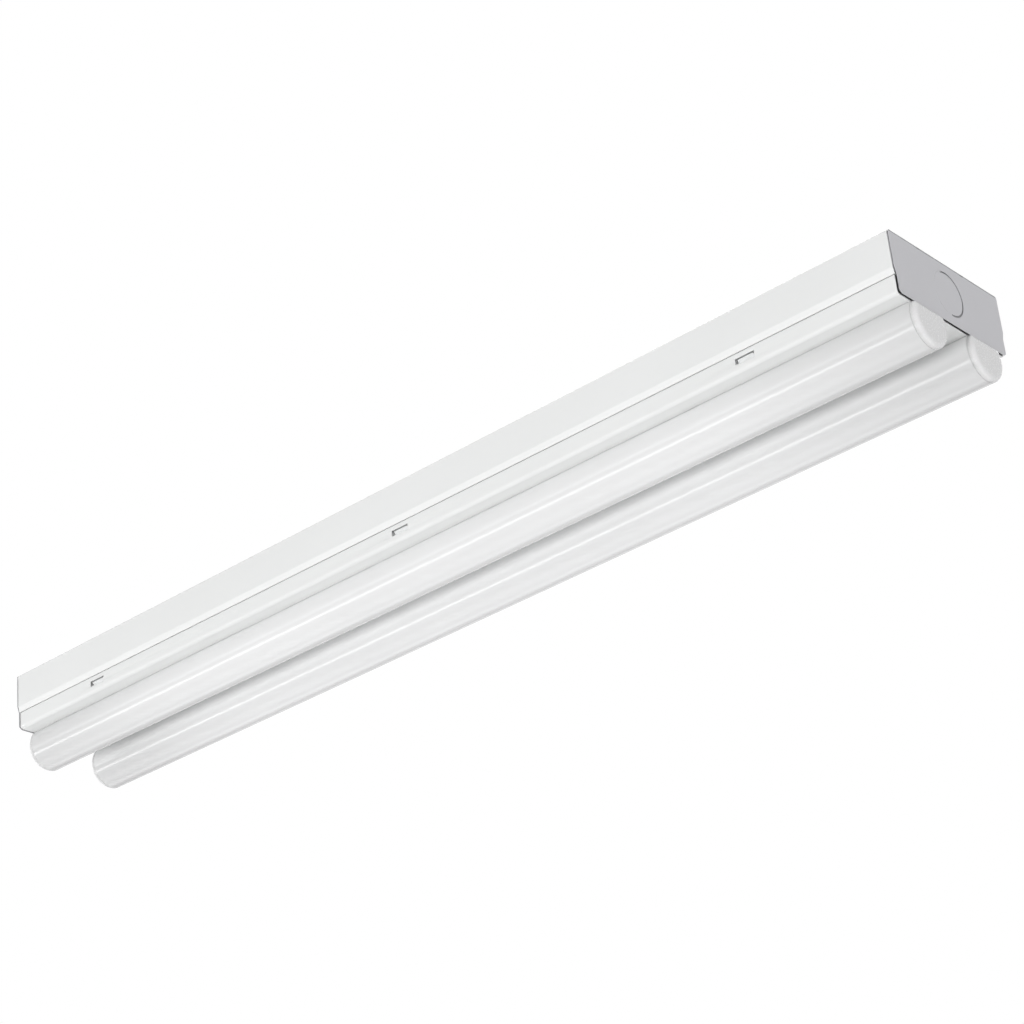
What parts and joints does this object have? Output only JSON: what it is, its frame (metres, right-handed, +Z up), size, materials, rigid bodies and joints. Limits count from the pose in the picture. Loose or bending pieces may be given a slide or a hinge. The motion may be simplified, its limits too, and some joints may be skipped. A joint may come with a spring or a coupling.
{
  "type": "strip light",
  "caption": "Ceiling strip light: folded steel channel with a cover that clips in, LED driver and boards, and frosted round lenses with end caps.",
  "frame": {"origin": "centre of the channel's flat top, the face that lies on the ceiling", "axes": "+X along the light, -Y towards the side that faces the room in the picture, +Z up into the ceiling"},
  "size_m": [0.6132, 0.09, 0.0533],
  "materials": {
    "white_painted_steel": "smooth satin white powder coat",
    "spring_steel": "white coated spring steel",
    "zinc_steel": "bright zinc plate",
    "driver_steel": "satin light grey paint",
    "circuit_board": "green solder mask",
    "white_nylon": "moulded nylon",
    "ferrite": "matt ferrite",
    "coil_tape": "polyester tape over copper",
    "capacitor_sleeve": "shrink sleeve",
    "green_steel": "green dyed zinc",
    "tinned_copper": "tin plate",
    "green_wire": "insulation",
    "black_wire": "insulation",
    "white_wire": "insulation",
    "red_wire": "insulation",
    "led_board": "white solder mask over aluminium",
    "led_phosphor": "yellow phosphor in a white package",
    "frosted_lens": "frosted acrylic, semi-gloss",
    "frosted_cap": "moulded translucent plastic"
  },
  "bodies": {
    "root": {"channel_housing": "white_painted_steel", "end_plate_left": "white_painted_steel", "end_plate_right": "white_painted_steel", "cover_strap_left": "spring_steel", "cover_strap_middle": "spring_steel", "cover_strap_right": "spring_steel", "end_plate_rivets": "zinc_steel", "strap_rivets": "zinc_steel", "driver_screws": "zinc_steel", "supply_clamp_screws": "zinc_steel", "supply_block_screw": "zinc_steel", "driver_base": "driver_steel", "driver_cover": "driver_steel", "driver_board": "circuit_board", "driver_standoffs": "white_nylon", "driver_transformer_core": "ferrite", "driver_transformer_coil": "coil_tape", "driver_capacitors": "capacitor_sleeve", "driver_choke": "ferrite", "driver_input_terminal": "white_nylon", "driver_output_terminal": "white_nylon", "supply_block": "white_nylon", "ground_screw": "green_steel", "ground_ring": "tinned_copper", "ground_wire": "green_wire", "line_wire": "black_wire", "neutral_wire": "white_wire", "led_wires_front": "red_wire", "led_wires_rear": "red_wire"},
    "cover": {"channel_cover": "white_painted_steel", "lens_rail_front": "white_painted_steel", "lens_rail_rear": "white_painted_steel", "board_screws": "zinc_steel", "led_board_front": "led_board", "led_board_rear": "led_board", "led_chips_front": "led_phosphor", "led_chips_rear": "led_phosphor", "board_connector_front": "white_nylon", "board_connector_rear": "white_nylon", "lens_front": "frosted_lens", "lens_rear": "frosted_lens", "lens_cap_front_left": "frosted_cap", "lens_cap_front_right": "frosted_cap", "lens_cap_rear_left": "frosted_cap", "lens_cap_rear_right": "frosted_cap"}
  },
  "joints": [
    {"name": "cover_drop", "type": "slide", "parent": "root", "child": "cover", "axis": [0, 0, -1], "range_m": [0, 0.03], "deforming": ["led_wires_front", "led_wires_rear"]}
  ]
}
